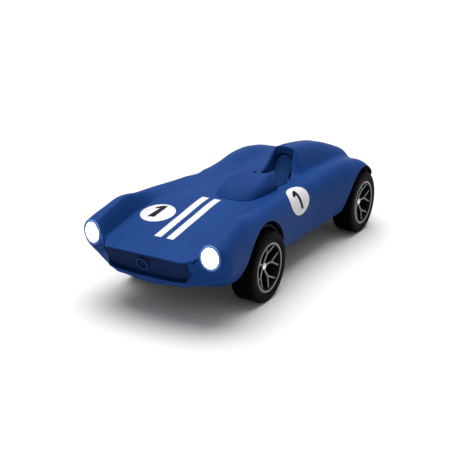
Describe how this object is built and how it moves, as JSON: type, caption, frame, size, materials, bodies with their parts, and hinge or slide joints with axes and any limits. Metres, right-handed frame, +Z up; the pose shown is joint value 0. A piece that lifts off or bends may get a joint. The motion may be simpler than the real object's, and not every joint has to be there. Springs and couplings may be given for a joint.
{
  "type": "pull-back toy sports car",
  "caption": "Open-cockpit toy racing car with an offset head fairing, lit lamps, rolling wheels and a geared pull-back spring motor.",
  "frame": {"origin": "middle of the bounding box on the floor the tyres stand on", "axes": "-Y is forwards out of the nose, +X is the car's left, +Z is up"},
  "size_m": [0.0802, 0.1962, 0.056],
  "materials": {
    "body_blue": "satin-gloss moulded plastic",
    "tub_blue": "satin moulded plastic",
    "grille_blue": "satin moulded plastic",
    "chassis_black": "fine-textured moulded plastic",
    "tyre_black": "soft matte rubber",
    "rim_black": "gloss moulded plastic",
    "chrome": "vacuum-plated mirror",
    "steel": "bright drawn steel",
    "brass": "bright stamped brass",
    "lens_white": "milky translucent, lit from behind",
    "gear_white": "self-lubricating moulded plastic",
    "motor_grey": "moulded plastic",
    "board_green": "lacquered circuit board",
    "lead_red": "PVC-insulated lead"
  },
  "bodies": {
    "body": {"body_shell": "body_blue", "grille_ring": "body_blue", "windscreen": "body_blue", "cockpit_tub": "tub_blue", "driver_seat": "tub_blue", "grille_panel": "grille_blue", "board_chip": "chassis_black", "cell_door": "chassis_black", "chassis_base": "chassis_black", "switch_housing": "chassis_black", "headlight_reflector_left": "chrome", "headlight_reflector_right": "chrome", "body_screw_front_left": "steel", "body_screw_front_right": "steel", "body_screw_rear_left": "steel", "body_screw_rear_right": "steel", "button_cell_1": "steel", "button_cell_2": "steel", "button_cell_3": "steel", "compound_shaft": "steel", "drum_shaft": "steel", "mainspring": "steel", "motor_screw_front": "steel", "motor_screw_rear": "steel", "cell_contact_negative": "brass", "cell_contact_positive": "brass", "headlight_led_left": "lens_white", "headlight_led_right": "lens_white", "headlight_lens_left": "lens_white", "headlight_lens_right": "lens_white", "motor_case_left": "motor_grey", "motor_case_right": "motor_grey", "lamp_board": "board_green", "lamp_lead_left": "lead_red", "lamp_lead_right": "lead_red", "supply_lead": "lead_red"},
    "front_wheels": {"front_axle": "steel", "tyre_front_left": "tyre_black", "tyre_front_right": "tyre_black", "rim_front_left": "rim_black", "rim_front_right": "rim_black", "hub_cap_front_left": "chrome", "hub_cap_front_right": "chrome"},
    "rear_wheels": {"rear_axle": "steel", "axle_pinion": "brass", "tyre_rear_left": "tyre_black", "tyre_rear_right": "tyre_black", "rim_rear_left": "rim_black", "rim_rear_right": "rim_black", "hub_cap_rear_left": "chrome", "hub_cap_rear_right": "chrome"},
    "reduction_gear": {"compound_gear": "gear_white"},
    "spring_drum": {"drum_gear": "gear_white"},
    "lamp_switch": {"switch_slider": "gear_white"}
  },
  "joints": [
    {"name": "front_roll", "type": "hinge", "parent": "body", "child": "front_wheels", "pos_m": [0, -0.048, 0.01742], "axis": [1, 0, 0], "continuous": true},
    {"name": "rear_roll", "type": "hinge", "parent": "body", "child": "rear_wheels", "pos_m": [0, 0.065, 0.01742], "axis": [1, 0, 0], "continuous": true},
    {"name": "reduction_turn", "type": "hinge", "parent": "body", "child": "reduction_gear", "pos_m": [0, 0.05721, 0.0267], "axis": [1, 0, 0], "continuous": true},
    {"name": "drum_wind", "type": "hinge", "parent": "body", "child": "spring_drum", "pos_m": [0, 0.04514, 0.02564], "axis": [1, 0, 0], "continuous": true},
    {"name": "switch_travel", "type": "slide", "parent": "body", "child": "lamp_switch", "axis": [1, 0, 0], "range_m": [0, 0.003]}
  ],
  "couplings": [
    {"joint": "reduction_turn", "follows": "rear_roll", "ratio": -0.33333},
    {"joint": "drum_wind", "follows": "rear_roll", "ratio": 0.11111}
  ]
}
